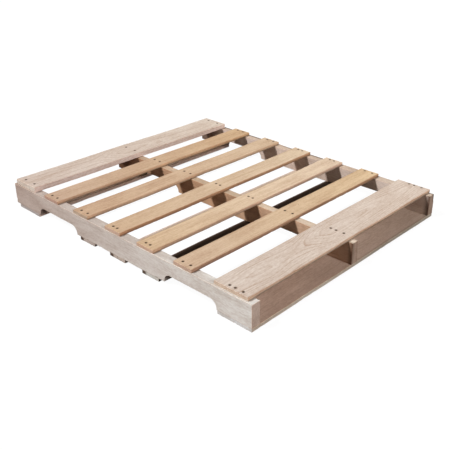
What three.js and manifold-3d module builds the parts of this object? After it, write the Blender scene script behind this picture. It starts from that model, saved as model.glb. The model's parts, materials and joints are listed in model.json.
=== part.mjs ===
// A notched stringer pallet, 48 x 40 in: three stringers on edge, a top deck of seven boards,
// a base of five boards, and the nails that hold the top deck down.
// Millimetres. +Z is up, the stringers run along Y, the boards run along X, and -Y is the front end.
// The origin is on the floor, under the middle of the pallet.
import * as THREE from 'three';
import { mergeVertices } from 'three/addons/utils/BufferGeometryUtils.js';
import Module from 'manifold-3d';

const wasm = await Module();
wasm.setup();

// Whole pallet
const palletWidth = 1016;
const palletLength = 1219.2;

// Stringers
const stringerWidth = 35;
const centreStringerWidth = 31;
const stringerHeight = 80;
const centreStringerX = -8.5;

// Fork notches, cut up into each stringer from below
const notchMouth = 230;
const notchDepth = 30.5;
const notchRadius = 28;
const notchCentres = [-354, 336];
const arcSteps = 8;

// Boards
const boardThickness = 12.5;
const rearLeadThickness = 20;
const leadWidth = 139;
const rearLeadWidth = 122;
const innerWidth = 83;
const rearBaseLeadWidth = 133;
const innerLength = 1008;

// Nails
const nailSides = 8;
const headRadius = 3.6;
const headThickness = 1.4;
const shankRadius = 1.45;
const nailLength = 44;
const tipLength = 5;
const headSink = 0.5;
const clearance = 0.3;

// Heights of the layers above the floor
const baseTop = boardThickness;
const stringerTop = baseTop + stringerHeight;

// Boolean cuts: how close vertices must be to be one, and how far a cut starts outside the wood
const mergeDistance = 1e-4;
const cutMargin = 1;

const finishes = {
  stringer: { color: 0xc9bcb4, roughness: 0.85, metalness: 0 },
  lead: { color: 0xd3c1b3, roughness: 0.8, metalness: 0 },
  inner: { color: 0xcba883, roughness: 0.8, metalness: 0 },
  base: { color: 0xb7a496, roughness: 0.85, metalness: 0 },
  nail: { color: 0x6b5544, roughness: 0.5, metalness: 0.8 },
};

// notches are how far the front and the rear notch lie from their usual places along Y.
const stringers = [
  { name: 'left', x: (stringerWidth - palletWidth) / 2, width: stringerWidth, notches: [0, 0] },
  { name: 'centre', x: centreStringerX, width: centreStringerWidth, notches: [0, 8] },
  { name: 'right', x: (palletWidth - stringerWidth) / 2, width: stringerWidth, notches: [0, 9] },
];

// Top deck, front to rear. y is a board's middle, shift moves it along X, and nails are
// the places of its nails along Y, measured from its middle, on each stringer. A board is of the
// usual thickness unless it has its own.
const deckBoards = [
  { name: 'deck_lead_front', y: -520.5, width: leadWidth, length: 1010, shift: 3, nails: [-37, -5, 17] },
  { name: 'deck_board_1', y: -323.5, width: innerWidth, length: innerLength, shift: -2, nails: [-18, 17] },
  { name: 'deck_board_2', y: -149.5, width: innerWidth, length: innerLength, shift: -3, nails: [-5, 16] },
  { name: 'deck_board_3', y: 17.5, width: innerWidth, length: innerLength, shift: -2, nails: [-5, 16] },
  { name: 'deck_board_4', y: 194, width: innerWidth, length: innerLength, shift: -2, nails: [-19, 16] },
  { name: 'deck_board_5', y: 369.5, width: innerWidth + 2, length: innerLength, shift: -3, nails: [-13, 19] },
  {
    name: 'deck_lead_rear',
    y: 537.5,
    width: rearLeadWidth,
    length: 1000,
    thickness: rearLeadThickness,
    shift: -4.5,
    nails: [-27, 30],
  },
];

// How far along X the nails stand from their stringer's middle, and the boards where they differ.
const usualNailShifts = { left: 3, centre: 3, right: 0 };
const nailShifts = {
  deck_lead_front: { left: 3, centre: 6, right: 10 },
  deck_lead_rear: { left: 7, centre: 0, right: -12 },
};

// Base, front to rear. The front lead board is flush with the stringers' ends.
const baseBoards = [
  { name: 'base_lead_front', y: (leadWidth - palletLength) / 2, width: leadWidth },
  { name: 'base_board_1', y: -171, width: innerWidth },
  { name: 'base_board_2', y: -2, width: innerWidth },
  { name: 'base_board_3', y: 162.5, width: innerWidth },
  { name: 'base_lead_rear', y: 527, width: rearBaseLeadWidth },
];

function thicknessOf(board) {
  return board.thickness ?? boardThickness;
}

function solidOf(geometry) {
  const bare = geometry.clone();
  bare.deleteAttribute('normal');
  bare.deleteAttribute('uv');
  const merged = mergeVertices(bare, mergeDistance);
  const vertProperties = new Float32Array(merged.attributes.position.array);
  const triVerts = new Uint32Array(merged.index.array);
  return new wasm.Manifold(new wasm.Mesh({ numProp: 3, vertProperties, triVerts }));
}

function geometryOf(solid) {
  const mesh = solid.getMesh();
  const geometry = new THREE.BufferGeometry();
  geometry.setAttribute('position', new THREE.BufferAttribute(mesh.vertProperties, 3));
  geometry.setIndex(new THREE.BufferAttribute(mesh.triVerts, 1));
  return geometry;
}

function meshOf(name, geometry, finish) {
  const material = new THREE.MeshStandardMaterial({ ...finish, flatShading: true });
  const mesh = new THREE.Mesh(geometry, material);
  mesh.name = name;
  return mesh;
}

// A body turned around Z from [radius, z] points that start and end on the axis.
function turned(points) {
  const profile = points.map(([radius, z]) => new THREE.Vector2(radius, z));
  const geometry = new THREE.LatheGeometry(profile, nailSides);
  return geometry.rotateX(Math.PI / 2);
}

// A flat-headed pointed nail, its head's top at z = 0.
function nailGeometry() {
  return turned([
    [0, -nailLength],
    [shankRadius, tipLength - nailLength],
    [shankRadius, -headThickness],
    [headRadius, -headThickness],
    [headRadius, 0],
    [0, 0],
  ]);
}

// The room that a nail takes up, a clearance wider than the nail, open above its head.
function nailHole() {
  const opening = headSink + cutMargin;
  return solidOf(turned([
    [0, -nailLength - clearance],
    [shankRadius + clearance, -nailLength - clearance],
    [shankRadius + clearance, -headThickness - clearance],
    [headRadius + clearance, -headThickness - clearance],
    [headRadius + clearance, opening],
    [0, opening],
  ]));
}

// Every top-deck nail: which board and stringer it joins, and where its head is.
function nailPlaces() {
  const places = [];
  for (const board of deckBoards) {
    const shifts = nailShifts[board.name] ?? usualNailShifts;
    const headHeight = stringerTop + thicknessOf(board) - headSink;
    for (const stringer of stringers) {
      const x = stringer.x + shifts[stringer.name];
      board.nails.forEach((offset, i) => {
        places.push({
          name: `nail_${board.name}_${stringer.name}_${i + 1}`,
          board: board.name,
          stringer: stringer.name,
          head: new THREE.Vector3(x, board.y + offset, headHeight),
        });
      });
    }
  }
  return places;
}

// Cuts the given nails' holes out of a body whose own middle is at centre.
function drilled(solid, centre, nails) {
  const hole = nailHole();
  let result = solid;
  for (const nail of nails) {
    const place = nail.head.clone().sub(centre);
    result = result.subtract(hole.translate([place.x, place.y, place.z]));
  }
  return result;
}

// Side view of a stringer, in Y and Z, about its middle: a long rectangle with two round notches.
function stringerOutline(notchShifts) {
  const end = palletLength / 2;
  const low = -stringerHeight / 2;
  const high = stringerHeight / 2;
  const arcLow = low + notchDepth - notchRadius;
  const outline = new THREE.Shape();
  outline.moveTo(-end, low);
  notchCentres.forEach((centre, i) => {
    const near = centre + notchShifts[i] - notchMouth / 2;
    const far = centre + notchShifts[i] + notchMouth / 2;
    outline.lineTo(near, low);
    outline.lineTo(near, arcLow);
    outline.absarc(near + notchRadius, arcLow, notchRadius, Math.PI, Math.PI / 2, true);
    outline.absarc(far - notchRadius, arcLow, notchRadius, Math.PI / 2, 0, true);
    outline.lineTo(far, low);
  });
  outline.lineTo(end, low);
  outline.lineTo(end, high);
  outline.lineTo(-end, high);
  return outline;
}

function makeStringer(stringer, nails) {
  const centre = new THREE.Vector3(stringer.x, 0, baseTop + stringerHeight / 2);
  const options = { depth: stringer.width, bevelEnabled: false, curveSegments: arcSteps };
  const slab = new THREE.ExtrudeGeometry(stringerOutline(stringer.notches), options);
  slab.translate(0, 0, -stringer.width / 2);
  slab.rotateZ(Math.PI / 2).rotateY(Math.PI / 2);
  const mine = nails.filter((nail) => nail.stringer === stringer.name);
  const solid = drilled(solidOf(slab), centre, mine);
  const mesh = meshOf(`stringer_${stringer.name}`, geometryOf(solid), finishes.stringer);
  mesh.position.copy(centre);
  return mesh;
}

function makeDeckBoard(board, nails) {
  const thickness = thicknessOf(board);
  const centre = new THREE.Vector3(board.shift, board.y, stringerTop + thickness / 2);
  const slab = new THREE.BoxGeometry(board.length, board.width, thickness);
  const mine = nails.filter((nail) => nail.board === board.name);
  const solid = drilled(solidOf(slab), centre, mine);
  const finish = board.name.includes('lead') ? finishes.lead : finishes.inner;
  const mesh = meshOf(board.name, geometryOf(solid), finish);
  mesh.position.copy(centre);
  return mesh;
}

function makeBaseBoard(board) {
  const slab = new THREE.BoxGeometry(palletWidth, board.width, boardThickness);
  const mesh = meshOf(board.name, slab, finishes.base);
  mesh.position.set(0, board.y, boardThickness / 2);
  return mesh;
}

function makeNail(nail) {
  const mesh = meshOf(nail.name, nailGeometry(), finishes.nail);
  mesh.position.copy(nail.head);
  return mesh;
}

const pallet = new THREE.Group();
pallet.name = 'pallet';
const nails = nailPlaces();
stringers.forEach((stringer) => pallet.add(makeStringer(stringer, nails)));
baseBoards.forEach((board) => pallet.add(makeBaseBoard(board)));
deckBoards.forEach((board) => pallet.add(makeDeckBoard(board, nails)));
nails.forEach((nail) => pallet.add(makeNail(nail)));

export default pallet;
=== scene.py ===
import itertools
import json
import math
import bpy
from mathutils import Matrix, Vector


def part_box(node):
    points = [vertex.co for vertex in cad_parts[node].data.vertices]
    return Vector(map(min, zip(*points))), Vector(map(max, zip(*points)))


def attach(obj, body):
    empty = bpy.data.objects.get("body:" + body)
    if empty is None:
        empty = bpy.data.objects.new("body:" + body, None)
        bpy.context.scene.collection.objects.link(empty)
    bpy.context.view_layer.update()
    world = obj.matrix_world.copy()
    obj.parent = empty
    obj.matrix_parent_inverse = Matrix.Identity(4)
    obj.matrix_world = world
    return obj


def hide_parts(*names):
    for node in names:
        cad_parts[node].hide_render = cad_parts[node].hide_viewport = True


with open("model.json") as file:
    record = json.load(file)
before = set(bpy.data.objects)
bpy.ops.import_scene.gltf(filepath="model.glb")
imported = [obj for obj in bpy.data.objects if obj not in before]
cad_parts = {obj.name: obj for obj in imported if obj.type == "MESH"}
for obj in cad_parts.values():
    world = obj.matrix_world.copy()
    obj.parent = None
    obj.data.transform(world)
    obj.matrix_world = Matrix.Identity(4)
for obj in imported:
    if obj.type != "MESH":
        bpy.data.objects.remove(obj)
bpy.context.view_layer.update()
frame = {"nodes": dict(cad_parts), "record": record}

import zlib

import bpy
import numpy as np
from mathutils import Matrix, Vector

MM = 0.001

# Camera, as fitted to the photo: its place in metres, its angles in degrees, its lens in millimetres, and
# how far its picture is shifted
CAMERA_PLACE = (-1.7073, -1.6936, 1.1747)
CAMERA_AZIMUTH = -48.984
CAMERA_ELEVATION = 26.279
CAMERA_ROLL = -0.958
CAMERA_LENS = 55.755
CAMERA_SHIFT = (-0.0883, -0.0253)

# Light: a lamp from the upper left, a soft warm one from the front, a low one from behind on the right,
# and weak warm light from all round.
# A share of 1 lights a surface to its full colour: a level surface for the key lamp, and one that faces
# the lamp for the others.
KEY_TRAVEL = Vector((0.69, -0.38, -1.0))
KEY_SHARE = 0.85
KEY_SPREAD = 8.0
FRONT_TRAVEL = Vector((0.14, 1.0, -0.65))
FRONT_SHARE = 0.50
FRONT_SPREAD = 34.0
FRONT_COLOUR = (1.0, 0.95, 0.91)
BACK_TRAVEL = Vector((-0.90, -0.70, -0.35))
BACK_SHARE = 0.30
BACK_SPREAD = 20.0
BACK_COLOUR = (1.0, 0.95, 0.90)
FILL_SHARE = 0.10
FILL_COLOUR = (1.0, 0.78, 0.68)
FLOOR_SIZE = 60.0
FLOOR_BOUNCE = (0.075, 0.050, 0.042)
FLOOR_GLOW = 0.96
FLOOR_SHADOW = 0.06

# Mesh grids, in millimetres: lines near an edge, then one every step, closer round a nail
EDGE_LINES = (0.0, 0.25, 0.6, 1.1, 1.8, 3.0)
LENGTH_STEP = 4.0
WIDTH_STEP = 4.0
NEAREST_LINES = 0.2
NAIL_REACH = 8.0
NAIL_GAP = 1.15

# Wear, in millimetres: the radius that an arris is rounded by, and how deep chips are knocked out of it.
# The radius varies from EASE_LEAST of itself to EASE_SPREAD more than that.
BOARD_WEAR = {"radius": 1.1, "chip": 2.2}
STRINGER_WEAR = {"radius": 1.3, "chip": 2.6}
EASE_LEAST = 0.55
EASE_SPREAD = 0.9
CHIP_REACH = 1.6
COARSE_ROUGHNESS = 0.10
FINE_ROUGHNESS = 0.05
SAW_ROUGHNESS = 0.25

# Sizes of the noise's cells for each kind of wear, in millimetres along, across and up
EASE_CELL = (45, 9, 9)
CHIP_CELL = (13, 5, 5)
CHIP_PATCH_CELL = (110, 60, 60)
COARSE_CELL = (60, 14, 14)
FINE_CELL = (9, 4, 4)
SAW_CELL = (4, 3, 3)
LOW_EDGE_CELL = (230, 1, 1)
HIGH_EDGE_CELL = (270, 1, 1)

# How far from true a board is, in millimetres: its edges wander, its ends are out of square, and it is
# cupped across and bowed between the stringers
EDGE_WAVE = 0.9
END_SKEW = 1.2
BOARD_CUP = 0.35
BOARD_BOW = 1.3

# Wood pressed in round a nail's head and under it, in millimetres, and the dark ring round the head
SEAT_MARGIN = 0.12
SEAT_REACH = 3.2
SEAT_UNDER_HEAD = 0.6
RUST_START = 0.3
RUST_END = 2.8
RUST_DARKNESS = 0.78

# How far tints and wear reach in from an end, edge or arris, in millimetres
TINT_REACH = 0.6
ARRIS_REACH = 1.6
WEAR_REACH = 2.2

# Notches in the stringers
NOTCH_RADIUS = 28.0
NOTCH_EASE = 2.0
NOTCH_FAN = 25.0
NOTCH_STEP = 2.5

# Nails
HEAD_RADIUS = 3.6
HEAD_DEPTH = 1.4
HEAD_SINK = 0.5
SHANK_RADIUS = 1.45
NAIL_LENGTH = 44.0
NAIL_TIP = 5.0
NAIL_SIDES = 28
NAIL_LEAN = 2.2
HEAD_CROWN = 0.10
HEAD_DENT = 0.10
DENTED_ROWS = 3
BASE_NAIL_LENGTH = 38.0
BASE_NAIL_OFFSETS = {"lead": (-42.0, 3.0, 40.0), "inner": (-19.0, 17.0)}

# Each piece's place in its tree, in millimetres and degrees: pith is the middle of the trunk across
# and below the piece's own middle, lean turns the trunk out of the piece across and downwards, and
# swells are (place along, reach before it, reach after it, height) where the trunk bends towards the
# piece's top.
# tone is the piece's colour against its material's, at places evenly spread from its low end to its
# high end; it is partly the wood's own colour and partly painted light and shade where a piece, or a
# stretch of it, is lit more or less. ends and low_side_tint_and_light are the further tints of its end
# grain and of its front edge or left face, partly the wood's colour and partly painted light and shade on
# those sides.
# under_edge_shade is painted shade: how much darker the lower half of that edge is. arris is a painted
# highlight: how much brighter the arrises are.
TREES = {
    "deck_lead_front": {
        "pith": (4, -66), "lean": (0.4, 0.2), "swells": [(482, 105, 420, 28), (140, 90, 90, 7)],
        "tone": ((0.81, 0.86, 0.90), (0.85, 0.89, 0.91)),
        "ends": (1.39, 1.31, 1.20), "low_side_tint_and_light": (1.61, 1.41, 1.25),
        "under_edge_shade": 0.45,
    },
    "deck_lead_rear": {
        "pith": (-10, -74), "lean": (-0.5, 0.2), "swells": [(470, 95, 220, 24), (850, 160, 160, 10)],
        "tone": ((0.79, 0.82, 0.86), (0.86, 0.92, 0.94)),
        "ends": (1.61, 1.71, 1.73), "low_side_tint_and_light": (1.74, 1.71, 1.83),
    },
    "deck_board_1": {
        "pith": (-70, -60), "lean": (0.6, 0.3), "swells": [(700, 200, 200, 6)],
        "tone": ((0.78, 0.78, 0.78), (0.86, 0.86, 0.75)),
        "ends": (1.31, 1.26, 1.35), "low_side_tint_and_light": (1.02, 0.86, 0.85),
        "under_edge_shade": 0.4,
    },
    "deck_board_2": {
        "pith": (60, -80), "lean": (-0.5, 0.5), "swells": [(300, 160, 160, 8)],
        "tone": ((0.81, 0.80, 0.73), (0.96, 1.04, 1.10)),
        "ends": (1.44, 1.37, 1.55), "low_side_tint_and_light": (1.41, 1.32, 1.40),
        "under_edge_shade": 0.4,
    },
    "deck_board_3": {
        "pith": (-95, -40), "lean": (0.3, -0.4), "swells": [(600, 220, 220, 7)],
        "tone": ((0.76, 0.73, 0.68), (0.91, 0.98, 0.99)),
        "ends": (1.42, 1.43, 1.66), "low_side_tint_and_light": (1.17, 0.92, 0.80),
        "under_edge_shade": 0.4,
    },
    "deck_board_4": {
        "pith": (80, -55), "lean": (0.4, 0.5), "swells": [(380, 180, 180, 8)],
        "tone": ((0.73, 0.68, 0.64), (0.82, 0.83, 0.80)),
        "ends": (1.27, 1.41, 1.57), "low_side_tint_and_light": (1.59, 1.57, 1.60),
        "under_edge_shade": 0.4,
    },
    "deck_board_5": {
        "pith": (-66, -70), "lean": (-0.6, 0.4), "swells": [(760, 160, 160, 7)],
        "tone": ((0.71, 0.68, 0.69), (0.80, 0.76, 0.65)),
        "ends": (1.31, 1.23, 1.35), "low_side_tint_and_light": (1.61, 1.54, 1.49),
        "under_edge_shade": 0.4,
    },
    "base_lead_front": {
        "pith": (10, -60), "lean": (0.4, 0.8), "swells": [(660, 130, 130, 12)],
        "tone": ((1.21, 1.10, 1.06), (1.04, 1.02, 1.00)),
        "ends": (1.02, 1.36, 1.64), "low_side_tint_and_light": (0.99, 1.18, 1.23),
        "arris": 1.5,
    },
    # base_board_1 is made near black as painted shade, with its pale ends and a bright arris line painted
    # back on top.
    "base_board_1": {
        "pith": (75, -50), "lean": (0.5, 0.4), "swells": [(420, 180, 180, 8)],
        "tone": ((0.08, 0.06, 0.05), (0.08, 0.06, 0.05)),
        "ends": (13.99, 22.44, 29.74), "low_side_tint_and_light": (0.9, 0.9, 0.9),
        "arris": 8.0,
    },
    # base_board_2 and base_board_3 have their front edges darkened as painted shade.
    "base_board_2": {
        "pith": (-60, -72), "lean": (-0.3, 0.6), "swells": [(620, 150, 150, 8)],
        "tone": ((0.95, 0.92, 0.90), (1.00, 1.00, 1.00)),
        "ends": (1.03, 1.12, 1.19), "low_side_tint_and_light": (0.45, 0.42, 0.40),
        "arris": 1.3,
    },
    "base_board_3": {
        "pith": (20, -58), "lean": (0.4, 0.7), "swells": [(300, 160, 160, 9)],
        "tone": ((0.98, 0.99, 1.02), (0.98, 0.99, 1.02)),
        "ends": (0.95, 0.99, 1.03), "low_side_tint_and_light": (0.45, 0.42, 0.40),
        "arris": 1.3,
    },
    # base_lead_rear is lightened as painted light, for the deep shade it lies in under the deck.
    "base_lead_rear": {
        "pith": (-14, -66), "lean": (0.3, -0.8), "swells": [(480, 140, 140, 12)],
        "tone": ((1.24, 1.22, 1.21), (1.25, 1.24, 1.26)),
        "ends": (0.67, 0.76, 0.88), "low_side_tint_and_light": (1.42, 1.42, 1.50),
    },
    "stringer_left": {
        "pith": (70, 12), "lean": (0.7, 0.5), "swells": [(600, 220, 220, 8)],
        "tone": ((0.95, 1.09, 1.16), (0.62, 0.59, 0.58)),
        "ends": (1.24, 1.04, 0.95), "low_side_tint_and_light": (1.45, 1.43, 1.42),
    },
    "stringer_centre": {
        "pith": (62, -20), "lean": (-0.6, 0.5), "swells": [(420, 200, 200, 8)],
        "tone": ((0.98, 0.99, 0.91), (0.80, 0.71, 0.56), (0.63, 0.53, 0.42)),
        "ends": (0.84, 0.73, 0.72), "low_side_tint_and_light": (1.12, 0.90, 0.78),
    },
    "stringer_right": {
        "pith": (-66, 25), "lean": (0.8, -0.4), "swells": [(760, 240, 240, 9)],
        "tone": ((0.78, 0.76, 0.70), (0.81, 0.75, 0.66), (0.79, 0.75, 0.70)),
        "ends": (1.00, 0.92, 0.90), "low_side_tint_and_light": (1.42, 1.43, 1.53),
    },
}

# Small splits at board ends: which end, place across, length, width, depth as a share of the board
SPLITS = {
    "deck_lead_front": [("high", 92, 46, 0.7, 0.5)],
    "deck_lead_rear": [("low", 38, 52, 0.7, 0.5), ("high", 84, 34, 0.6, 0.4)],
    "deck_board_2": [("low", 45, 30, 0.6, 0.45)],
    "deck_board_4": [("high", 36, 42, 0.7, 0.5)],
    "base_lead_rear": [("high", 66, 60, 0.8, 0.5)],
    "base_board_2": [("low", 40, 38, 0.7, 0.45)],
}

# Dark flecks on a board's top: place along, place across, radius
FLECKS = {
    "deck_board_1": [(571, 55, 2.2)],
    "deck_board_4": [(845, 26, 1.8)],
    "deck_lead_rear": [(716, 44, 2.0)],
}

# Dark patches: place along, place across, reach along, reach across, strength. On the stringers they are
# painted shade over the gaps between the deck boards and at the stringers' ends; on the base boards,
# painted shadow at the rear of their left ends; on the front base lead, a darker stretch along its front
# edge.
DARK_PATCHES = {
    "base_lead_front": [(760, 0, 260, 8, 0.35)],
    "stringer_centre": [(545, 16, 45, 40, 0.20), (715, 16, 45, 40, 0.15), (0, 0, 95, 10, 0.4),
                        (1200, 0, 80, 6, 0.85)],
    "stringer_right": [(545, 17, 45, 40, 0.15), (1200, 0, 80, 6, 0.85)],
    "base_board_1": [(0, 76, 8, 14, 1.0)],
    "base_board_2": [(0, 74, 8, 13, 1.0)],
    "base_board_3": [(0, 76, 8, 12, 1.0)],
}

# Bark left on a stringer's outer upper corner, in millimetres: how deep it bites in, how far it comes in
# across the top and down the side and how those lines wave, how softly it ends, and where it runs
BARK_BITE = 3.0
BARK_WIDTH = 9
BARK_WAVE = 5
BARK_DROP = 12
BARK_DROP_WAVE = 20
BARK_FADE = 50
BARK_EDGE_BLUR = 2.5
BARK_FOOT_BLUR = 4
BARK_SIDE = 12
BARK_DARKNESS = 0.85
BARK = {"stringer_right": [(-60, 85), (470, 760), (800, 1280)]}

# Painted shade on the left faces at the front ends of stringers, where the key lamp would light them: how
# far it reaches back and into the wood, in millimetres, and how dark it is
END_SHADE = {"stringer_centre": 34, "stringer_right": 26}
END_SHADE_DEPTH = 3
END_SHADE_DARKNESS = 0.9

# Wood: tints of worn wood and of wood that is marked or painted with shade, how dark it is in the middle
# and how much each pattern changes that, its gloss, and its bump in millimetres
WORN_TINT = (0.74, 0.62, 0.52)
MARK_TINT = (0.16, 0.11, 0.08)
MEAN_DARKNESS = 0.25
FIBRE_CONTRAST = 0.16
PORE_DARKNESS = 0.16
SPECK_LIGHTNESS = 0.16
SPECK_DARKNESS = 0.18
WOOD_GLOSS = 0.28
WOOD_BUMP = 0.22

# Nail steel: its colours, how metallic and glossy it is, and its bump in millimetres
RUST_DARK = (0.026, 0.014, 0.008)
RUST_LIGHT = (0.070, 0.034, 0.016)
RUST_PITS = (0.02, 0.014, 0.01)
STEEL_METAL = 0.2
STEEL_GLOSS = 0.08
STEEL_BUMP = 0.08

record = frame["record"]
wood_nodes = sorted(n for n in frame["nodes"] if not n.startswith("nail_"))
nail_nodes = sorted(n for n in frame["nodes"] if n.startswith("nail_"))
stringer_nodes = [n for n in wood_nodes if n.startswith("stringer")]
slots = {part["node"]: part["material_slot"] for part in record["subparts"]}
notch_roof = next(m["pos_m"][2] for m in record["mounts"] if m["name"].startswith("notch"))


# Repeatable noise

def seed_of(name):
    """A whole number that is always the same for a name."""
    return zlib.crc32(name.encode()) % 100_000


def lattice(cell, seed):
    """A repeatable random number from 0 to 1 for each row of three whole numbers."""
    n = cell[:, 0] * 374761393 + cell[:, 1] * 668265263 + cell[:, 2] * 1440662683 + seed * 1013904223
    n = n & 0xFFFFFFFF
    n = ((n ^ (n >> 13)) * 1274126177) & 0xFFFFFFFF
    return ((n ^ (n >> 16)) & 0xFFFFFF) / 0xFFFFFF


def noise(points, cell_size, seed):
    """Smooth noise from 0 to 1 at each point, for cells of the given size along each axis."""
    scaled = points / np.array(cell_size, float)
    cell = np.floor(scaled).astype(np.int64)
    part = scaled - cell
    part = part * part * (3 - 2 * part)
    total = np.zeros(len(points))
    for corner in itertools.product((0, 1), repeat=3):
        near = np.array(corner)
        weight = np.prod(np.where(near, part, 1 - part), axis=1)
        total += weight * lattice(cell + near, seed)
    return total


def smooth_step(value, start, end):
    """0 before start, 1 after end, and a smooth rise between them."""
    t = np.clip((value - start) / (end - start), 0, 1)
    return t * t * (3 - 2 * t)


# Grids and meshes, in millimetres until mesh_from

def grid_lines(length, step, spots=()):
    """Places from 0 to length, close together at both ends and round each (place, reach, gap) spot."""
    lines = [length - e for e in EDGE_LINES]
    lines += EDGE_LINES
    for place, reach, gap in spots:
        count = round(reach / gap)
        lines += [place + i * gap for i in range(-count, count + 1)]
    free = np.arange(EDGE_LINES[-1] + step, length - EDGE_LINES[-1] - step / 2, step)
    lines += [x for x in free if all(abs(x - place) > reach for place, reach, _ in spots)]
    kept = [0.0]
    for line in sorted(lines):
        if kept[-1] + NEAREST_LINES <= line <= length - NEAREST_LINES:
            kept.append(line)
    return np.array(kept + [length])


def shell(us, vs, ws):
    """The outer grid of a box: its points (u, v, w), and its faces, turned outwards."""
    shape = (len(us), len(vs), len(ws))
    outer = np.zeros(shape, bool)
    outer[[0, -1]] = True
    outer[:, [0, -1]] = True
    outer[:, :, [0, -1]] = True
    index = np.full(shape, -1)
    index[outer] = np.arange(outer.sum())
    grid = np.stack(np.meshgrid(us, vs, ws, indexing="ij"), axis=-1)
    faces = []
    for axis in range(3):
        for side in (0, -1):
            sheet = np.take(index, side, axis=axis)
            corners = (sheet[:-1, :-1], sheet[1:, :-1], sheet[1:, 1:], sheet[:-1, 1:])
            quads = np.stack(corners, axis=-1).reshape(-1, 4)
            faces_out = (side == -1) == (axis != 1)
            faces.append(quads if faces_out else quads[:, ::-1])
    return grid[outer], np.concatenate(faces)


def mesh_from(name, points, faces):
    """A smooth-shaded object from points in millimetres in the part's frame."""
    mesh = bpy.data.meshes.new(name)
    mesh.from_pydata((points * MM).tolist(), [], faces.tolist())
    mesh.shade_smooth()
    piece = bpy.data.objects.new(name, mesh)
    bpy.context.scene.collection.objects.link(piece)
    return piece


def paint(piece, name, values):
    """Keeps one number, or one row of three, for each point of a piece, for its material to read."""
    values = np.asarray(values, np.float32)
    kind, field = ("FLOAT", "value") if values.ndim == 1 else ("FLOAT_VECTOR", "vector")
    attribute = piece.data.attributes.new(name, kind, "POINT")
    attribute.data.foreach_set(field, values.ravel())


# The wood's shape

def arris_distance(flat, size):
    """How far each point of a box's surface is from the box's nearest arris."""
    sides = np.minimum(flat, size - flat)
    return np.sort(sides, axis=1)[:, 1]


def worn(flat, size, seed, radius, chip):
    """Rounds a box's arrises unevenly, knocks chips out of them and roughens its faces. Only inwards."""
    ease = radius * (EASE_LEAST + EASE_SPREAD * noise(flat, EASE_CELL, seed))[:, None]
    core = np.clip(flat, ease, size - ease)
    outward = flat - core
    outward /= np.linalg.norm(outward, axis=1)[:, None]
    arris = arris_distance(flat, size)
    knocks = smooth_step(noise(flat, CHIP_CELL, seed + 1), 0.68, 0.95)
    knocks *= smooth_step(noise(flat, CHIP_PATCH_CELL, seed + 2), 0.35, 0.75)
    depth = chip * knocks * np.exp(-arris / CHIP_REACH)
    depth += COARSE_ROUGHNESS * noise(flat, COARSE_CELL, seed + 3)
    depth += FINE_ROUGHNESS * noise(flat, FINE_CELL, seed + 4)
    return core + outward * (ease - depth[:, None])


def trimmed(shape, flat, size, seed, wave, skew):
    """Makes the long edges wander and the ends a little out of square. Only inwards."""
    along, across = flat[:, 0] / size[0], flat[:, 1] / size[1]
    run = np.zeros_like(flat)
    run[:, 0] = flat[:, 0]
    low_edge = wave * noise(run, LOW_EDGE_CELL, seed + 5)
    high_edge = wave * noise(run, HIGH_EDGE_CELL, seed + 6)
    shape[:, 1] += low_edge * (1 - across) - high_edge * across
    draw = np.random.default_rng(seed)
    low_skew, high_skew = draw.uniform(-skew, skew, 2)
    low_end = np.abs(low_skew) * (across if low_skew > 0 else 1 - across)
    high_end = np.abs(high_skew) * (across if high_skew > 0 else 1 - across)
    saw = SAW_ROUGHNESS * noise(flat, SAW_CELL, seed + 7)
    shape[:, 0] += (low_end + saw) * (1 - along) - (high_end + saw) * along
    return shape


def lowered(shape, size, depth, from_top=True):
    """Brings one broad side in by depth, squeezing the points between it and the other side."""
    share = depth / size[2]
    if from_top:
        shape[:, 2] *= 1 - share
    else:
        shape[:, 2] = size[2] - (size[2] - shape[:, 2]) * (1 - share)
    return shape


def nail_distance(flat, places):
    """How far each point is, along and across, from the nearest of some places."""
    best = np.full(len(flat), 1e9)
    for u, v in places:
        best = np.minimum(best, np.hypot(flat[:, 0] - u, flat[:, 1] - v))
    return best


def seat_depth(distance):
    """How deep the wood is pressed in at a distance from a nail's middle."""
    around = 1 - smooth_step(distance, HEAD_RADIUS, HEAD_RADIUS + SEAT_REACH)
    crushed = (HEAD_SINK + SEAT_MARGIN) * around
    under_head = SEAT_UNDER_HEAD * (1 - smooth_step(distance, HEAD_RADIUS - 1.1, HEAD_RADIUS - 0.1))
    return crushed + under_head


def split_depth(flat, size, splits):
    """How deep splits open the board at each point, as a share of its thickness."""
    depth = np.zeros(len(flat))
    for end, place, length, width, share in splits:
        run = flat[:, 0] if end == "low" else size[0] - flat[:, 0]
        reach = np.clip(1 - run / length, 0, 1)
        side = np.clip(1 - np.abs(flat[:, 1] - place) / width, 0, 1)
        depth = np.maximum(depth, share * side * reach ** 0.6)
    return depth


def dark_patch_strength(flat, stains):
    """How dark each point is from the dark patches round it, most of which are painted shade."""
    dark = np.zeros(len(flat))
    for along, across, reach_along, reach_across, strength in stains:
        away = ((flat[:, 0] - along) / reach_along) ** 2 + ((flat[:, 1] - across) / reach_across) ** 2
        dark = np.maximum(dark, strength * np.exp(-away ** 2))
    return dark


def sagged(flat, supports, seed, most):
    """How far a board bows between its supports, up to most in each span."""
    draw = np.random.default_rng(seed + 8)
    bow = np.zeros(len(flat))
    for start, end in zip(supports, supports[1:]):
        t = np.clip((flat[:, 0] - start) / (end - start), 0, 1)
        bow += draw.uniform(0.3, 1) * most * np.sin(math.pi * t) ** 2
    return bow


def grain_frame(flat, size, tree):
    """Each point's place in its tree, in millimetres, with the trunk along the third axis."""
    u, v, w = (flat - size / 2).T
    lean_across, lean_down = np.tan(np.radians(tree["lean"]))
    across = v - tree["pith"][0] - u * lean_across
    down = w - tree["pith"][1] + u * lean_down
    for place, before, after, height in tree["swells"]:
        reach = np.where(flat[:, 0] < place, before, after)
        down -= height * np.exp(-(((flat[:, 0] - place) / reach) ** 2))
    return np.stack([across, down, u + seed_shift(tree)], axis=1)


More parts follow.
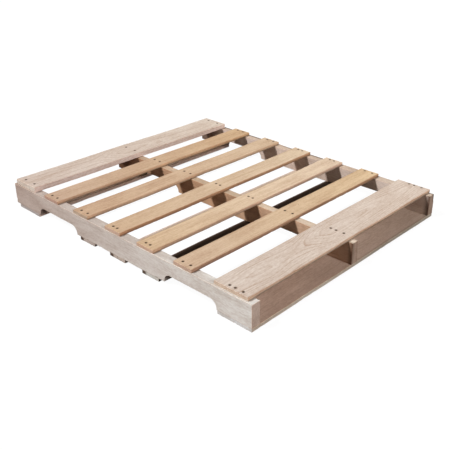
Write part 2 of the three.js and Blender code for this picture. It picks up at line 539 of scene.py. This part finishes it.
def seed_shift(tree):
    """Sets one piece's fine grain apart from another's."""
    return 1000.0 * (tree["pith"][0] + 0.37 * tree["pith"][1])


def paint_wood(piece, flat, size, arris, name, marks):
    """Gives a piece what its material reads. flat is each point's place along, across and up."""
    tree = TREES[name]
    ends = np.minimum(flat[:, 0], size[0] - flat[:, 0])
    tones = np.array(tree["tone"])
    places = np.linspace(0, size[0], len(tones))
    tone = np.stack([np.interp(flat[:, 0], places, channel) for channel in tones.T], axis=1)
    # Further tints of the end grain and of the front edge or left face: partly the wood's colour, partly
    # painted light and shade.
    for tint, distance in ((tree["ends"], ends), (tree["low_side_tint_and_light"], flat[:, 1])):
        tone *= 1 + (np.array(tint) - 1) * np.exp(-distance / TINT_REACH)[:, None]
    # Painted shade on the lower half of the front edge.
    lower = 1 - smooth_step(flat[:, 2], 0.25 * size[2], 0.6 * size[2])
    under_shade = np.exp(-flat[:, 1] / TINT_REACH) * lower
    tone *= 1 - tree.get("under_edge_shade", 0) * under_shade[:, None]
    # Painted highlight along the arrises, away from the ends.
    arris_highlight = np.exp(-(arris / ARRIS_REACH) ** 2) * smooth_step(ends, 2, 5)
    tone *= 1 + (tree.get("arris", 1) - 1) * arris_highlight[:, None]
    paint(piece, "grain", grain_frame(flat, size, tree))
    paint(piece, "wear", np.exp(-arris / WEAR_REACH))
    paint(piece, "marks", marks)
    # The colour painted here holds painted light and shade as well as the wood's own colour.
    paint(piece, "tone", tone)


def finish_piece(piece, node, material):
    """Gives a piece its material, and lets it ride, stand for its CAD node and fill its slot."""
    piece.data.materials.append(material)
    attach(piece, "root")
    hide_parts(node)


def stringer_middles():
    """Where the stringers' middles are along X, in millimetres, from left to right."""
    return sorted(sum(corner.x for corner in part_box(n)) / 2 / MM for n in stringer_nodes)


def board_nails(node):
    """The (x, y) places of the nail heads on a board, in millimetres."""
    if node.startswith("deck"):
        boxes = [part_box(n) for n in nail_nodes if n.startswith(f"nail_{node}_")]
        return [((a.x + b.x) / 2 / MM, (a.y + b.y) / 2 / MM) for a, b in boxes]
    low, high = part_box(node)
    middle = (low.y + high.y) / 2 / MM
    offsets = BASE_NAIL_OFFSETS["lead" if "lead" in node else "inner"]
    return [(x, middle + offset) for x in stringer_middles() for offset in offsets]


def make_board(node, material):
    """One board: its faces that carry nails are the top of a deck board and the bottom of a base board."""
    low, high = (np.array(corner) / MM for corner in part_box(node))
    size = high - low
    seed = seed_of(node)
    on_top = node.startswith("deck")
    nails = [(x - low[0], y - low[1]) for x, y in board_nails(node)]
    flecks = FLECKS.get(node, [])
    splits = SPLITS.get(node, [])
    along = [(u, NAIL_REACH, NAIL_GAP) for u in sorted({round(u, 3) for u, _ in nails})]
    along += [(u, 2 * r, r / 2) for u, _, r in flecks]
    across = [(v, NAIL_REACH, NAIL_GAP) for v in sorted({round(v, 3) for _, v in nails})]
    across += [(v, 2 * r, r / 2) for _, v, r in flecks]
    across += [(place, 2 * width, width / 2) for _, place, _, width, _ in splits]
    us = grid_lines(size[0], LENGTH_STEP, along)
    vs = grid_lines(size[1], WIDTH_STEP, across)
    ws = grid_lines(size[2], size[2] / 4)
    flat, faces = shell(us, vs, ws)

    shape = worn(flat, size, seed, **BOARD_WEAR)
    cracks = split_depth(flat, size, splits)
    shape = lowered(shape, size, cracks * size[2], on_top)
    shape = lowered(shape, size, seat_depth(nail_distance(flat, nails)), on_top)
    cup = BOARD_CUP * (1 - (2 * flat[:, 1] / size[1] - 1) ** 2)
    shape = lowered(shape, size, cup, on_top)
    shape = trimmed(shape, flat, size, seed, EDGE_WAVE, END_SKEW)
    supports = [x - low[0] for x in stringer_middles()]
    bow = sagged(flat, supports, seed, BOARD_BOW)
    shape[:, 2] += -bow if on_top else bow

    piece = mesh_from(f"wood_{node}", shape + low, faces)
    fleck_marks = sum((1 - smooth_step(nail_distance(flat, [(u, v)]), 0.3 * r, r) for u, v, r in flecks), 0)
    rust_start, rust_end = HEAD_RADIUS + RUST_START, HEAD_RADIUS + RUST_END
    stains = RUST_DARKNESS * (1 - smooth_step(nail_distance(flat, nails), rust_start, rust_end))
    upper = flat[:, 2] > size[2] / 2
    facing = upper if on_top else ~upper
    # Rust round the nail heads and the flecks belong to the wood; the darkened splits and most dark patches
    # are painted shade.
    marks = np.where(facing, stains + fleck_marks, 0) + smooth_step(cracks, 0.02, 0.2)
    marks = np.clip(marks + dark_patch_strength(flat, DARK_PATCHES.get(node, [])), 0, 1)
    paint_wood(piece, flat, size, arris_distance(flat, size), node, marks)
    finish_piece(piece, node, material)
    return piece


def notch_spans(node):
    """Where a stringer's notches start and end along Y, and how high their roofs are, from its bottom."""
    low = np.array(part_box(node)[0]) / MM
    corners = np.array([v.co for v in frame["nodes"][node].data.vertices]) / MM
    roof = corners[np.abs(corners[:, 2] - notch_roof / MM) < 0.1, 1]
    flats = (roof[roof < 0], roof[roof > 0])
    spans = [(f.min() - NOTCH_RADIUS - low[1], f.max() + NOTCH_RADIUS - low[1]) for f in flats]
    return spans, notch_roof / MM - low[2]


def notch_outline(node, length):
    """Points along the bottom of a stringer, (along, up), over its two notches, with the place on the
    stringer's top that each point is joined to."""
    bottom = [(0.0, 0.0)]
    fans = [(0.0, 0.0)]
    spans, roof = notch_spans(node)

    def line_to(y, z):
        y0, z0 = bottom[-1]
        count = max(1, round(math.hypot(y - y0, z - z0) / NOTCH_STEP))
        bottom.extend((y0 + (y - y0) * i / count, z0 + (z - z0) * i / count) for i in range(1, count + 1))

    def arc(centre, radius, start, end):
        count = max(4, round(abs(end - start) * radius / NOTCH_STEP))
        for i in range(1, count + 1):
            angle = start + (end - start) * i / count
            bottom.append((centre[0] + radius * math.cos(angle), centre[1] + radius * math.sin(angle)))

    def fan_to(y, z):
        line_to(y, z)
        fans.append((y, len(bottom) - 1))

    quarter = math.pi / 2
    spring = roof - NOTCH_RADIUS
    for near, far in spans:
        fan_to(near - NOTCH_FAN, 0)
        line_to(near - NOTCH_EASE, 0)
        arc((near - NOTCH_EASE, NOTCH_EASE), NOTCH_EASE, -quarter, 0)
        line_to(near, spring)
        arc((near + NOTCH_RADIUS, spring), NOTCH_RADIUS, math.pi, quarter)
        fans.append((near + NOTCH_RADIUS, len(bottom) - 1))
        fan_to(far - NOTCH_RADIUS, roof)
        arc((far - NOTCH_RADIUS, spring), NOTCH_RADIUS, quarter, 0)
        line_to(far, NOTCH_EASE)
        arc((far + NOTCH_EASE, NOTCH_EASE), NOTCH_EASE, math.pi, math.pi + quarter)
        fan_to(far + NOTCH_FAN, 0)
    fan_to(length, 0)
    bottom = np.array(bottom)
    steps = np.hypot(*np.diff(bottom, axis=0).T)
    run = np.concatenate([[0], np.cumsum(steps)])
    top = np.interp(run, [run[int(i)] for _, i in fans], [y for y, _ in fans])
    return bottom, run, top


def bark_cover(node, place, width, height, seed):
    """How much of the outer upper corner of a stringer is bark, from 0 to 1, at each point."""
    cover = np.zeros(len(place))
    for start, end in BARK.get(node, []):
        grows = smooth_step(place[:, 0], start, start + BARK_FADE)
        fades = smooth_step(place[:, 0], end - BARK_FADE, end)
        cover = np.maximum(cover, grows * (1 - fades))
    edge = width - BARK_WIDTH + BARK_WAVE * (noise(place, (70, 1e6, 30), seed + 9) - 0.5)
    foot = height - BARK_DROP - BARK_DROP_WAVE * noise(place, (45, 1e6, 1e6), seed + 10)
    cover = cover * smooth_step(place[:, 1], edge - BARK_EDGE_BLUR, edge + BARK_EDGE_BLUR)
    return cover * smooth_step(place[:, 2], foot - BARK_FOOT_BLUR, foot + BARK_FOOT_BLUR)


def make_stringer(node, material):
    """One stringer: a box's shell whose underside follows the notches, with its top fanned out to match."""
    low, high = (np.array(corner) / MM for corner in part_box(node))
    width, length, height = high - low
    seed = seed_of(node)
    bottom, run, top = notch_outline(node, length)
    ends = grid_lines(run[-1], step=run[-1])
    inner = run[(run > EDGE_LINES[-1] + 1) & (run < run[-1] - EDGE_LINES[-1] - 1)]
    us = np.sort(np.concatenate([ends, inner]))
    vs = grid_lines(width, WIDTH_STEP)
    ws = grid_lines(height, WIDTH_STEP)
    size = np.array([run[-1], width, height])
    flat, faces = shell(us, vs, ws)
    moved = worn(flat, size, seed, **STRINGER_WEAR) - flat

    rise = flat[:, 2] / height
    bottom_y = np.interp(flat[:, 0], run, bottom[:, 0])
    bottom_z = np.interp(flat[:, 0], run, bottom[:, 1])
    top_y = np.interp(flat[:, 0], run, top)
    along = bottom_y * (1 - rise) + top_y * rise
    up = bottom_z * (1 - rise) + height * rise
    real = np.stack([along, flat[:, 1], up], axis=1)
    bark = bark_cover(node, real, width, height, seed)
    moved[:, 1] -= BARK_BITE * bark * (flat[:, 1] > width - BARK_SIDE)
    slope = np.gradient(bottom, run, axis=0)
    normal_y = np.where(rise < 0.5, -np.interp(flat[:, 0], run, slope[:, 1]), 0)
    normal_z = np.where(rise < 0.5, np.interp(flat[:, 0], run, slope[:, 0]), 1)
    shape = np.stack([
        flat[:, 1] + moved[:, 1],
        along + moved[:, 0] + moved[:, 2] * normal_y,
        up + moved[:, 2] * normal_z,
    ], axis=1)

    piece = mesh_from(f"wood_{node}", shape + low, faces)
    # Painted shade on the left face near the front end, and the dark patches, which paint shade as well.
    painted_shade = np.zeros(len(real))
    if node in END_SHADE:
        near_end = 1 - smooth_step(along, 0, END_SHADE[node])
        painted_shade = END_SHADE_DARKNESS * np.exp(-real[:, 1] / END_SHADE_DEPTH) * near_end
    real_size = np.array([length, width, height])
    painted_shade = np.maximum(painted_shade, dark_patch_strength(real, DARK_PATCHES.get(node, [])))
    marks = np.maximum(BARK_DARKNESS * bark, painted_shade)
    paint_wood(piece, real, real_size, arris_distance(flat, size), node, marks)
    finish_piece(piece, node, material)
    return piece


# Nails

def nail_profile(length):
    """A nail's outline, (radius, height), from the middle of its head's top down to its point."""
    rim = HEAD_RADIUS
    return [
        (0, HEAD_CROWN), (rim * 0.35, 0.09), (rim * 0.7, 0.05), (rim * 0.88, 0.0), (rim * 0.97, -0.12),
        (rim, -0.3), (rim, -0.8), (rim * 0.9, -HEAD_DEPTH + 0.15), (rim * 0.62, -HEAD_DEPTH),
        (SHANK_RADIUS * 1.25, -HEAD_DEPTH - 0.5), (SHANK_RADIUS, -HEAD_DEPTH - 1.5),
        (SHANK_RADIUS, NAIL_TIP - length), (SHANK_RADIUS * 0.55, NAIL_TIP * 0.45 - length), (0, -length),
    ]


def make_nail(name, head, direction, length, material):
    """One nail, its head at a place in millimetres and pointing down (-1) or up (1)."""
    draw = np.random.default_rng(seed_of(name))
    rows = nail_profile(length)
    points = [(0, 0, rows[0][1])]
    for i, (radius, z) in enumerate(rows[1:-1]):
        for k in range(NAIL_SIDES):
            angle = 2 * math.pi * k / NAIL_SIDES
            dented = z - (HEAD_DENT * draw.random() if i < DENTED_ROWS else 0)
            points.append((radius * math.cos(angle), radius * math.sin(angle), dented))
    points.append((0, 0, rows[-1][1]))
    rings = len(rows) - 2
    faces = [(0, 1 + k, 1 + (k + 1) % NAIL_SIDES) for k in range(NAIL_SIDES)]
    for ring in range(rings - 1):
        a, b = 1 + ring * NAIL_SIDES, 1 + (ring + 1) * NAIL_SIDES
        for k in range(NAIL_SIDES):
            n = (k + 1) % NAIL_SIDES
            faces.append((a + k, b + k, b + n, a + n))
    last = 1 + (rings - 1) * NAIL_SIDES
    tip = len(points) - 1
    faces += [(last + (k + 1) % NAIL_SIDES, last + k, tip) for k in range(NAIL_SIDES)]

    lean = Matrix.Rotation(math.radians(draw.uniform(0, NAIL_LEAN)), 4, "X")
    spin = Matrix.Rotation(draw.uniform(0, 2 * math.pi), 4, "Z")
    flip = Matrix.Rotation(math.pi if direction > 0 else 0, 4, "X")
    mesh = bpy.data.meshes.new(name)
    mesh.from_pydata([tuple(c * MM for c in p) for p in points], [], faces)
    mesh.transform(flip @ spin @ lean)
    mesh.transform(Matrix.Translation(Vector(head) * MM))
    mesh.shade_smooth()
    mesh.materials.append(material)
    nail = bpy.data.objects.new(name, mesh)
    bpy.context.scene.collection.objects.link(nail)
    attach(nail, "root")
    return nail


def make_deck_nails(material):
    """The nails that the CAD model has, each at its own node's place."""
    for node in nail_nodes:
        low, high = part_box(node)
        head = ((low.x + high.x) / 2 / MM, (low.y + high.y) / 2 / MM, high.z / MM - HEAD_CROWN)
        nail = make_nail(node.replace("nail_", "pin_"), head, -1, NAIL_LENGTH, material)
        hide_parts(node)


def make_base_nails(material):
    """The nails under the base boards, driven upwards, which have no CAD nodes."""
    for node in wood_nodes:
        if node.startswith("base"):
            for i, (x, y) in enumerate(board_nails(node)):
                name = f"pin_{node}_{i + 1}"
                make_nail(name, (x, y, HEAD_SINK + HEAD_CROWN), 1, BASE_NAIL_LENGTH, material)


# Materials

class Shader:
    """One material's nodes, with short calls that add a node and give back its output."""

    def __init__(self, name):
        self.material = bpy.data.materials.new(name)
        self.material.use_nodes = True
        self.tree = self.material.node_tree
        self.surface = self.tree.nodes["Principled BSDF"]

    def add(self, kind, inputs, output=0, **settings):
        """Adds a node, and gives back one of its outputs."""
        node = self.tree.nodes.new(kind)
        for name, value in settings.items():
            setattr(node, name, value)
        for key, value in inputs.items():
            self.put(node.inputs[key], value)
        return node.outputs[output]

    def put(self, socket, value):
        """Sets a socket to a value, or links it to another node's output."""
        if isinstance(value, bpy.types.NodeSocket):
            self.tree.links.new(value, socket)
        else:
            socket.default_value = value

    def attribute(self, name, output="Fac"):
        """What paint kept for each point of a piece."""
        return self.add("ShaderNodeAttribute", {}, output, attribute_name=name)

    def math(self, operation, a, b=0.0, clamp=False):
        """One sum of two numbers."""
        return self.add("ShaderNodeMath", {0: a, 1: b}, operation=operation, use_clamp=clamp)

    def stretch(self, vector, factors):
        """Scales a place along each axis, so that its patterns get longer or shorter."""
        return self.add("ShaderNodeVectorMath", {0: vector, 1: factors}, operation="MULTIPLY")

    def noise(self, vector, scale, detail=2.0, rough=0.5):
        """Cloudy noise, mostly between 0.3 and 0.7."""
        inputs = {"Vector": vector, "Scale": scale, "Detail": detail, "Roughness": rough}
        return self.add("ShaderNodeTexNoise", inputs)

    def step(self, value, start, end, low=0.0, high=1.0):
        """A smooth rise from low at start to high at end."""
        inputs = {"Value": value, 1: start, 2: end, 3: low, 4: high}
        return self.add("ShaderNodeMapRange", inputs, interpolation_type="SMOOTHSTEP")

    def mix(self, factor, a, b, how="MIX"):
        """One colour laid over another."""
        inputs = {0: factor, 6: a, 7: b}
        return self.add("ShaderNodeMix", inputs, 2, data_type="RGBA", blend_type=how)


def colour(red, green, blue):
    """A full colour for a socket that also takes how opaque it is."""
    return (red, green, blue, 1.0)


def growth_rings(s, grain, ring_width):
    """How much of each point is dark late wood, in wavering rings round the pith that differ by year."""
    wide = s.noise(s.stretch(grain, (1, 1, 0.14)), 0.02, 2.0)
    narrow = s.noise(s.stretch(grain, (1, 1, 0.06)), 0.11, 2.0)
    wander = s.math("ADD", s.math("MULTIPLY", wide, 16.0), s.math("MULTIPLY", narrow, 2.4))
    radius = s.add("ShaderNodeVectorMath", {0: s.stretch(grain, (1, 1, 0))}, "Value", operation="LENGTH")
    phase = s.math("DIVIDE", s.math("ADD", radius, wander), ring_width)
    ring = s.math("FRACT", phase)
    late = s.math("MULTIPLY", s.step(ring, 0.30, 0.88), s.step(ring, 0.90, 1.0, 1.0, 0.0))
    year = s.add("ShaderNodeTexWhiteNoise", {"W": s.math("FLOOR", phase)}, "Value", noise_dimensions="1D")
    late = s.math("MULTIPLY", late, s.step(year, 0.0, 1.0, 0.25, 1.0))
    faint = s.noise(s.stretch(grain, (1, 1, 0.15)), 0.03, 2.0)
    return s.math("MULTIPLY", late, s.step(faint, 0.35, 0.65, 0.5, 1.0))


def make_wood(name, light, dark, ring_width, ring_strength, streaks, mottle):
    """Sawn wood: rings round the pith, fibres and pores along the trunk, specks, worn arrises, dark spots,
    and each piece's colour; the spots and the colour hold painted light and shade as well.
    """
    s = Shader(name)
    grain = s.attribute("grain", "Vector")
    late = growth_rings(s, grain, ring_width)
    fibre = s.noise(s.stretch(grain, (1, 1, 0.03)), 1.3, 3.0, 0.6)
    bands = s.noise(s.stretch(grain, (1, 1, 0.012)), 0.16, 3.0, 0.55)
    pores = s.step(s.noise(s.stretch(grain, (1, 1, 0.05)), 2.6, 1.0), 0.60, 0.72)
    patches = s.noise(s.stretch(grain, (1, 1, 0.3)), 0.022, 3.0)
    specks = s.noise(s.stretch(grain, (1, 1, 0.35)), 0.20, 3.0, 0.65)

    darkness = s.math("MULTIPLY", late, ring_strength)
    darkness = s.math("ADD", darkness, s.step(bands, 0.3, 0.75, -streaks, streaks))
    darkness = s.math("ADD", darkness, s.step(fibre, 0.25, 0.75, -FIBRE_CONTRAST, FIBRE_CONTRAST))
    darkness = s.math("ADD", darkness, s.math("MULTIPLY", pores, PORE_DARKNESS))
    darkness = s.math("ADD", darkness, s.step(patches, 0.3, 0.7, -mottle, mottle))
    darkness = s.math("ADD", darkness, s.step(specks, 0.32, 0.68, -SPECK_LIGHTNESS, SPECK_DARKNESS))
    darkness = s.math("ADD", darkness, MEAN_DARKNESS, clamp=True)
    base = s.mix(darkness, light, dark)

    scuffs = s.noise(s.stretch(grain, (1, 1, 0.4)), 0.35, 3.0, 0.6)
    wear = s.math("MULTIPLY", s.attribute("wear"), s.step(scuffs, 0.3, 0.7, 0.1, 0.85))
    base = s.mix(wear, base, s.mix(1.0, base, colour(*WORN_TINT), "MULTIPLY"))
    # Darkened where the wood is marked and where shade is painted, then multiplied by the piece's colour,
    # which holds painted light and shade too.
    base = s.mix(s.attribute("marks"), base, s.mix(1.0, base, colour(*MARK_TINT), "MULTIPLY"))
    base = s.mix(1.0, base, s.attribute("tone", "Color"), "MULTIPLY")
    s.put(s.surface.inputs["Base Color"], base)

    rough = s.math("ADD", s.step(scuffs, 0.2, 0.8, 0.62, 0.86), s.math("MULTIPLY", late, -0.08))
    s.put(s.surface.inputs["Roughness"], rough)
    s.surface.inputs["Specular IOR Level"].default_value = WOOD_GLOSS

    saw = s.noise(s.stretch(grain, (0.12, 0.12, 1)), 0.24, 2.0)
    height = s.math("MULTIPLY", late, 0.5)
    height = s.math("ADD", height, s.math("MULTIPLY", fibre, 0.7))
    height = s.math("ADD", height, s.math("MULTIPLY", pores, -0.7))
    height = s.math("ADD", height, s.math("MULTIPLY", saw, 0.8))
    bump = s.add("ShaderNodeBump", {"Height": height, "Strength": 0.6, "Distance": WOOD_BUMP * MM})
    s.put(s.surface.inputs["Normal"], bump)
    return s.material


def make_steel():
    """Nail steel gone dark brown, with darker pits."""
    s = Shader("nail_steel")
    place = s.add("ShaderNodeTexCoord", {}, "Object")
    rust = s.noise(place, 900.0, 4.0, 0.65)
    pits = s.step(s.noise(place, 2600.0, 2.0), 0.55, 0.7)
    base = s.mix(s.step(rust, 0.35, 0.65), colour(*RUST_DARK), colour(*RUST_LIGHT))
    base = s.mix(pits, base, colour(*RUST_PITS))
    s.put(s.surface.inputs["Base Color"], base)
    s.surface.inputs["Metallic"].default_value = STEEL_METAL
    s.surface.inputs["Specular IOR Level"].default_value = STEEL_GLOSS
    s.put(s.surface.inputs["Roughness"], s.step(rust, 0.3, 0.7, 0.60, 0.85))
    bump = s.add("ShaderNodeBump", {"Height": rust, "Strength": 0.5, "Distance": STEEL_BUMP * MM})
    s.put(s.surface.inputs["Normal"], bump)
    return s.material


# The studio

def make_floor():
    """A pale floor that looks nearly white and throws back a little light."""
    s = Shader("floor")
    nodes = s.tree.nodes
    paper = s.add("ShaderNodeBsdfDiffuse", {"Color": colour(*FLOOR_BOUNCE)})
    sheen = s.add("ShaderNodeBsdfDiffuse", {"Color": colour(FLOOR_SHADOW, FLOOR_SHADOW, FLOOR_SHADOW)})
    glow = s.add("ShaderNodeEmission", {"Color": colour(1, 1, 1), "Strength": FLOOR_GLOW})
    seen = s.add("ShaderNodeAddShader", {0: sheen, 1: glow})
    eye = s.add("ShaderNodeLightPath", {}, "Is Camera Ray")
    both = s.add("ShaderNodeMixShader", {0: eye, 1: paper, 2: seen})
    nodes.remove(s.surface)
    s.put(nodes["Material Output"].inputs["Surface"], both)
    half = FLOOR_SIZE / 2
    corners = [(-half, -half, 0), (half, -half, 0), (half, half, 0), (-half, half, 0)]
    mesh = bpy.data.meshes.new("floor")
    mesh.from_pydata(corners, [], [(0, 1, 2, 3)])
    mesh.materials.append(s.material)
    floor = bpy.data.objects.new("floor", mesh)
    bpy.context.scene.collection.objects.link(floor)


def make_lamp(name, travel, share, spread, shade, shine=True):
    """A far lamp whose light travels one way, and lights a surface that faces it to the given share."""
    lamp = bpy.data.lights.new(name, "SUN")
    lamp.energy = share * math.pi
    lamp.angle = math.radians(spread)
    lamp.color = shade
    holder = bpy.data.objects.new(name, lamp)
    holder.rotation_euler = travel.to_track_quat("-Z", "Y").to_euler()
    holder.visible_glossy = shine
    bpy.context.scene.collection.objects.link(holder)


def make_light():
    """The three lamps, the fill from all round, and a white background that only the camera sees."""
    key_slant = -KEY_TRAVEL.normalized().z
    make_lamp("key", KEY_TRAVEL, KEY_SHARE / key_slant, KEY_SPREAD, (1, 1, 1))
    make_lamp("front", FRONT_TRAVEL, FRONT_SHARE, FRONT_SPREAD, FRONT_COLOUR)
    make_lamp("back", BACK_TRAVEL, BACK_SHARE, BACK_SPREAD, BACK_COLOUR, shine=False)

    world = bpy.data.worlds.new("studio")
    world.use_nodes = True
    nodes, links = world.node_tree.nodes, world.node_tree.links
    fill = nodes["Background"]
    fill.inputs["Color"].default_value = colour(*FILL_COLOUR)
    fill.inputs["Strength"].default_value = FILL_SHARE
    white = nodes.new("ShaderNodeBackground")
    white.inputs["Color"].default_value = colour(1, 1, 1)
    path = nodes.new("ShaderNodeLightPath")
    both = nodes.new("ShaderNodeMixShader")
    links.new(path.outputs["Is Camera Ray"], both.inputs[0])
    links.new(fill.outputs[0], both.inputs[1])
    links.new(white.outputs[0], both.inputs[2])
    links.new(both.outputs[0], nodes["World Output"].inputs["Surface"])
    bpy.context.scene.world = world


def make_camera():
    """The photo's camera, as fitted: a place, three angles, a lens and a shift."""
    a, e, r = (math.radians(d) for d in (CAMERA_AZIMUTH, CAMERA_ELEVATION, CAMERA_ROLL))
    right = Vector((math.cos(a), math.sin(a), 0))
    back = Vector((math.sin(a) * math.cos(e), -math.cos(a) * math.cos(e), math.sin(e)))
    up = back.cross(right)
    turned_right = math.cos(r) * right - math.sin(r) * up
    turned_up = math.sin(r) * right + math.cos(r) * up
    camera = bpy.data.objects.new("camera", bpy.data.cameras.new("camera"))
    axes = Matrix((turned_right, turned_up, back)).transposed().to_4x4()
    camera.matrix_world = Matrix.Translation(CAMERA_PLACE) @ axes
    camera.data.sensor_width = 36.0
    camera.data.lens = CAMERA_LENS
    camera.data.shift_x, camera.data.shift_y = CAMERA_SHIFT
    bpy.context.scene.collection.objects.link(camera)
    bpy.context.scene.camera = camera


make_camera()
make_light()
make_floor()
bpy.context.scene.view_settings.view_transform = "Standard"

materials = {
    "lead_wood": make_wood(
        "lead_wood", colour(0.74, 0.62, 0.53), colour(0.46, 0.31, 0.22),
        ring_width=5.4, ring_strength=0.54, streaks=0.09, mottle=0.12,
    ),
    "deck_wood": make_wood(
        "deck_wood", colour(0.71, 0.54, 0.39), colour(0.47, 0.30, 0.19),
        ring_width=4.2, ring_strength=0.30, streaks=0.20, mottle=0.18,
    ),
    "stringer_wood": make_wood(
        "stringer_wood", colour(0.70, 0.61, 0.55), colour(0.44, 0.33, 0.27),
        ring_width=5.0, ring_strength=0.18, streaks=0.09, mottle=0.24,
    ),
    "base_wood": make_wood(
        "base_wood", colour(0.70, 0.59, 0.51), colour(0.44, 0.31, 0.23),
        ring_width=4.4, ring_strength=0.24, streaks=0.08, mottle=0.16,
    ),
    "nail_steel": make_steel(),
}

for node in wood_nodes:
    make = make_stringer if node in stringer_nodes else make_board
    make(node, materials[slots[node]])
make_deck_nails(materials["nail_steel"])
make_base_nails(materials["nail_steel"])
